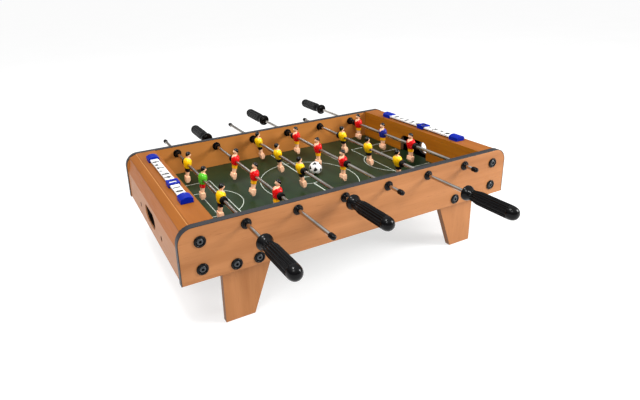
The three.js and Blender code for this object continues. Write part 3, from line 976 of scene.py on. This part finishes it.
def handles(black):
    """A grip on the end of each rod."""
    shape = grip()
    for n in RODS:
        side, middle, facing = rod_frame(n)
        low, high = box_mm(f"handle_{n}")
        rim = abs((low.y if side > 0 else high.y) - middle)
        parts = [(moved(shape, facing @ at(0, 0, rim)), black)]
        piece(f"grip_{n}", parts, f"spin_{n}", [f"handle_{n}"])


# ---- Players ----

# Lean of each rod's players in the photograph, in degrees.
TIPS = (-7, 10, 9, -2, 10, -2)

# Where the colours change, as heights over the rod and slopes.
SHORTS_HEM = -16.2
SHIRT_HEM = -8.6
COLLAR_Z = 13.2
VEE_Z = 5.8
VEE_SLOPE = 1.05
HAIR_Z = 19.6
HAIR_SLOPE = 0.68
HAIR_LOW = 15.6

# Height over the rod, half width, half depth, middle towards the front, and squareness.
BODY_ROWS = (
    (-40.5, 6.1, 2.4, -0.3, 30), (-40.1, 6.5, 2.8, -0.3, 30), (-36.8, 7.2, 4.1, 0.4, 30),
    (-34.2, 7.4, 4.8, 0.8, 30), (-33.8, 7.4, 4.8, 0.8, 30), (-29.5, 7.4, 4.5, 0.4, 30),
    (-27.4, 7.4, 4.4, 0.2, 30), (-27.0, 7.1, 4.2, 0.2, 30), (-26.9, 4.7, 3.2, 0, 8),
    (-26.4, 4.6, 3.1, 0, 6), (-22, 4.9, 3.5, 0, 4), (-17.2, 5.5, 4.0, 0, 3.4),
    (-16.6, 5.7, 4.1, 0, 3.2), (-16.4, 6.3, 4.7, 0, 2.8), (-16.0, 6.6, 4.9, 0, 2.8), (-12, 6.9, 5.0, 0, 2.6),
    (-9.4, 7.1, 5.2, 0, 2.4), (-8.9, 7.4, 5.5, 0, 2.3), (-8.3, 8.4, 6.2, 0, 2.2), (-6.8, 9.2, 6.8, 0, 2.1),
    (-4, 10.1, 7.5, 0, 2.1), (0, 10.9, 8.2, 0, 2.1), (3.5, 11.2, 8.5, 0, 2.1), (7, 10.8, 8.1, 0, 2.1),
    (9.6, 9.5, 7.1, 0, 2.1), (11.6, 7.2, 5.6, 0, 2.1), (12.8, 4.9, 4.3, 0.1, 2), (13.4, 3.6, 3.4, 0.2, 2),
    (14.4, 3.1, 3.1, 0.3, 2), (15.4, 3.2, 3.3, 0.5, 2), (16.2, 3.9, 4.1, 0.8, 2), (17.4, 4.5, 4.8, 0.9, 2),
    (19, 4.9, 5.2, 0.9, 2), (20.8, 5.0, 5.3, 0.9, 2), (22.6, 4.9, 5.1, 0.8, 2), (24.2, 4.2, 4.5, 0.7, 2),
    (25.4, 3.2, 3.5, 0.6, 2), (26.2, 1.9, 2.1, 0.5, 2), (26.6, 0.7, 0.8, 0.5, 2),
)
COLUMNS = 48

# The first rows, the foot and leg, keep their steps. The others lie on a smooth curve.
BLOCK_ROWS = 16

# Details of the figure: the heights they lie between, then how deep and how wide they are.
LEG_GROOVE = {"low": -33.5, "high": -17, "deep": 0.5, "wide": 1.6}
NOSE = {"low": 18.5, "high": 20.5, "out": 0.9}
ARM_CREASE = {"low": -7, "high": 9, "y": 7.6, "deep": 0.7, "wide": 1.1}
HAIR_T = 0.35
BORE_R = 3.75


def squared(angle, power):
    """Reach of a rounded square of half size 1 in a direction."""
    c, s = abs(math.cos(angle)), abs(math.sin(angle))
    return (c ** power + s ** power) ** (-1 / power)


def smooth_rows():
    """The rows, with more of them on a smooth curve through those above the leg."""
    rows = list(BODY_ROWS[:BLOCK_ROWS])
    for i in range(BLOCK_ROWS, len(BODY_ROWS)):
        before, start, end = BODY_ROWS[i - 2], BODY_ROWS[i - 1], BODY_ROWS[i]
        after = BODY_ROWS[min(i + 1, len(BODY_ROWS) - 1)]
        for t in (1 / 3, 2 / 3, 1):
            weights = (
                -t + 2 * t * t - t ** 3,
                2 - 5 * t * t + 3 * t ** 3,
                t + 4 * t * t - 3 * t ** 3,
                t ** 3 - t * t,
            )
            knots = zip(before, start, end, after)
            rows.append(tuple(sum(w * v for w, v in zip(weights, values)) / 2 for values in knots))
    return rows


def body_point(angle, row):
    """A point on the figure's skin, facing +X, from its row and its angle about Z."""
    z, half_width, half_depth, middle, power = row
    reach = squared(angle, power)
    x = middle + half_depth * reach * math.cos(angle)
    y = half_width * reach * math.sin(angle)
    if LEG_GROOVE["low"] < z < LEG_GROOVE["high"]:
        x -= math.copysign(LEG_GROOVE["deep"], x) * max(0, 1 - abs(y) / LEG_GROOVE["wide"])
    if NOSE["low"] < z < NOSE["high"]:
        x += NOSE["out"] * max(0, math.cos(angle)) ** 10
    if z > HAIR_LOW and z > HAIR_Z + HAIR_SLOPE * x:
        x += HAIR_T * math.cos(angle)
        y += HAIR_T * math.sin(angle)
    if ARM_CREASE["low"] < z < ARM_CREASE["high"] and abs(math.cos(angle)) > 0.2:
        across = (abs(y) - ARM_CREASE["y"]) / ARM_CREASE["wide"]
        x -= math.copysign(ARM_CREASE["deep"], x) * math.exp(-across ** 2)
    return x, y, z


def player_mesh(paint):
    """One moulded player, bored for the rod."""
    angles = [2 * math.pi * i / COLUMNS for i in range(COLUMNS)]
    figure = loft([[body_point(a, row) for a in angles] for row in smooth_rows()])
    drill = moved(turned([(BORE_R, -20), (BORE_R, 20)], 32), ALONG_Y)
    return cut("player", [(figure, paint)], [(drill, paint)])


def players(paints):
    """Three figures on each rod, in the colours of their slot. Odd rods face +X."""
    base = player_mesh(paints["yellow_team"])
    for n in RODS:
        facing = Matrix() if n % 2 else HALF_TURN
        tip = Matrix.Rotation(math.radians(-TIPS[n - 1]), 4, "Y")
        for name in ("near", "mid", "far"):
            node = f"man_{n}_{name}"
            low, high = box_mm(node)
            slot = SLOTS[node]
            mesh = base.copy()
            mesh.materials.clear()
            mesh.materials.append(paints[slot].material)
            place = at(rod_x(n), (low.y + high.y) / 2, ROD_Z) @ facing @ tip
            piece(f"player_{n}_{name}", mesh, f"spin_{n}", [node], place)


# ---- Ball ----

GOLDEN = (1 + 5 ** 0.5) / 2

# A pentagon's pull on a point of the ball, against a hexagon's. It sets how large the spots are.
SPOT = 0.988
SEAM = {"deep": 0.28, "wide": 0.035}


def axes_of(points):
    """Unit vectors from the middle towards some points. Each also stands for its opposite."""
    return [tuple(Vector(point).normalized()) for point in points]


def cycled(points):
    """Points with their coordinates in each of the three cyclic orders."""
    return [point[i:] + point[:i] for i in range(3) for point in points]


PENTAGON_AXES = axes_of(cycled([(0, 1, GOLDEN), (0, 1, -GOLDEN)]))
HEXAGON_AXES = axes_of([
    (1, 1, 1), (1, 1, -1), (1, -1, 1), (-1, 1, 1),
    *cycled([(0, 1 / GOLDEN, GOLDEN), (0, 1 / GOLDEN, -GOLDEN)]),
])
BALL_TURN = Euler([math.radians(a) for a in (34.3, 25.3, -157.2)]).to_matrix().to_4x4()


def ball(paint):
    """A small football with shallow seams between its panels."""
    low, high = box_mm("ball")
    radius = (high.z - low.z) / 2
    work = bmesh.new()
    bmesh.ops.create_icosphere(work, subdivisions=5, radius=1)
    for vert in work.verts:
        direction = vert.co.normalized()
        pentagons = [abs(direction.dot(Vector(a))) * SPOT for a in PENTAGON_AXES]
        hexagons = [abs(direction.dot(Vector(a))) for a in HEXAGON_AXES]
        second, first = sorted(pentagons + hexagons)[-2:]
        seam = max(0, 1 - (first - second) / SEAM["wide"])
        vert.co = direction * (radius - SEAM["deep"] * seam ** 2) * MM
    mesh = bpy.data.meshes.new("ball")
    work.to_mesh(mesh)
    work.free()
    mesh.materials.append(paint.material)
    mesh.shade_smooth()
    middle = (low + high) / 2
    piece("game_ball", mesh, "ball", ["ball"], at(*middle) @ BALL_TURN)


# ---- Stage ----

# The camera's place, in millimetres from the table's middle on the floor, and its turns in degrees.
CAMERA = {
    "place": (-487.6, -859.6, 541.2),
    "azimuth": 25.976,
    "down": 19.048,
    "roll": -2.515,
    "lens": 27.975,
    "shift": (0.0625, -0.0781),
}

# Half the side of the floor, in metres.
FLOOR_REACH = 120


def camera():
    """The view of the product picture, from the near left corner."""
    azimuth, down, roll = (math.radians(CAMERA[key]) for key in ("azimuth", "down", "roll"))
    level = math.cos(down)
    ahead = Vector((math.sin(azimuth) * level, math.cos(azimuth) * level, -math.sin(down)))
    right = ahead.cross(Vector((0, 0, 1))).normalized()
    up = right.cross(ahead)
    tilted_right = right * math.cos(roll) + up * math.sin(roll)
    tilted_up = up * math.cos(roll) - right * math.sin(roll)
    data = bpy.data.cameras.new("camera")
    data.lens = CAMERA["lens"]
    data.sensor_width = 36
    data.shift_x, data.shift_y = CAMERA["shift"]
    made = add_object("camera", data)
    turn = Matrix((tilted_right, tilted_up, -ahead)).transposed().to_4x4()
    place = Vector(CAMERA["place"]) + Vector((0, MID_Y, 0))
    made.matrix_world = Matrix.Translation(place * MM) @ turn
    bpy.context.scene.camera = made


def lamp(name, place, aim, size, power, height=None):
    """A rectangular area light. Its places and sizes are in metres."""
    data = bpy.data.lights.new(name, "AREA")
    data.shape = "RECTANGLE"
    data.size = size
    data.size_y = height or size
    data.energy = power
    turn = (Vector(aim) - Vector(place)).to_track_quat("-Z", "Y").to_matrix().to_4x4()
    add_object(name, data).matrix_world = Matrix.Translation(place) @ turn


def surroundings():
    """A white world that the camera sees evenly, and that lights the table less from low down."""
    world = bpy.data.worlds.new("studio")
    world.use_nodes = True
    tree = world.node_tree
    background = tree.nodes["Background"]
    background.inputs["Color"].default_value = (1, 1, 1, 1)
    direction = tree.nodes.new("ShaderNodeTexCoord").outputs["Generated"]
    height = tree.nodes.new("ShaderNodeSeparateXYZ")
    fade = tree.nodes.new("ShaderNodeMapRange")
    seen = tree.nodes.new("ShaderNodeMath")
    seen.operation = "MAXIMUM"
    tree.links.new(direction, height.inputs[0])
    tree.links.new(height.outputs["Z"], fade.inputs["Value"])
    tree.links.new(fade.outputs[0], seen.inputs[0])
    tree.links.new(tree.nodes.new("ShaderNodeLightPath").outputs["Is Camera Ray"], seen.inputs[1])
    tree.links.new(seen.outputs[0], background.inputs["Strength"])
    for socket, value in zip(fade.inputs[1:5], (0.3, 0.85, 0.25, 1.0)):
        socket.default_value = value
    bpy.context.scene.world = world


def ground():
    """A plain pale floor, which glows a little so that it fades into the background."""
    p = Paint("floor", Roughness=0.9, Specular_IOR_Level=0.0)
    tone = p.mix(p.noise(3, 2), srgb("#aaaaaa"), srgb("#b0b0b0"))
    p.finish(Base_Color=tone, Emission_Color=(1, 1, 1, 1), Emission_Strength=0.66)
    mesh = bpy.data.meshes.new("floor")
    corners = rectangle(-FLOOR_REACH, -FLOOR_REACH, FLOOR_REACH, FLOOR_REACH)
    mesh.from_pydata([(x, y, 0) for x, y in corners], [], [(0, 1, 2, 3)])
    mesh.materials.append(p.material)
    add_object("floor", mesh)


def studio():
    """Soft light from above and the right, with a low strip behind for a line along the rods."""
    surroundings()
    bpy.context.scene.view_settings.view_transform = "Standard"
    lamp("key", (1.5, -1.2, 1.0), (0.1, 0, 0.1), 0.7, 40)
    lamp("rim", (0.5, 2.6, 1.65), (0.1, 0, 0.15), 1.8, 2.6, 0.15)
    lamp("fill", (-1.1, -1.1, 1.9), (0, 0, 0.12), 0.6, 14)
    lamp("top", (-0.5, -0.1, 1.7), (0, 0, 0.1), 0.35, 14)
    ground()


# ---- Making ----


def build():
    """Everything, from the cabinet to the stage."""
    camera()
    trim = plastic("trim_band", "#2f2f32", 0.45, edge_wear_and_highlight="#58585b")
    black = plastic("black_gloss", "#060607", 0.2, edge_wear_and_highlight="#2a2a2c", shine=0.17)
    rubber = plastic("black_rubber", "#0d0c0c", 0.42, edge_wear_and_highlight="#2a2a2a", grain=900, shine=0.2)
    hollow = plastic("socket_shadow", "#040404", 0.6, edge_wear_and_highlight="#050505", shine=0.05)
    dark = plastic("screw_black", "#2e3236", 0.3, edge_wear_and_highlight="#6b6f74", shine=0.5)
    white = plastic("white_strip", "#f0f0ee", 0.35, edge_wear_and_highlight="#ffffff")
    blue = plastic("blue_mould", "#001f9a", 0.32, edge_wear_and_highlight="#0f2fb4", shine=0.1)
    ink = plastic("numeral_ink", "#141414", 0.45)
    side_panels(panel_laminate(), trim)
    legs(wood("wood_leg", "z", BOARD_PALE, BOARD_DEEP, raw=BOARD_RAW, raw_axis=1))
    goal_walls(wall_laminate())
    end_covers(cover_wood())
    carry_over("pitch_board", pitch_green())
    pitch_lines(line_white())
    screws(black, dark, hollow)
    counters(white, blue, ink)
    steel_rods(steel(), rubber, black)
    bushings(black)
    handles(black)
    players({
        "yellow_team": player_paint("paint_yellow", "#ffc904", "#0e0e16"),
        "red_team": player_paint("paint_red", "#e80c12", "#ffb414"),
        "green_keeper": player_paint("paint_green", "#55bb25", "#d81014"),
        "navy_keeper": player_paint("paint_navy", "#1d2788", "#ffb414"),
    })
    ball(ball_skin())
    studio()


build()
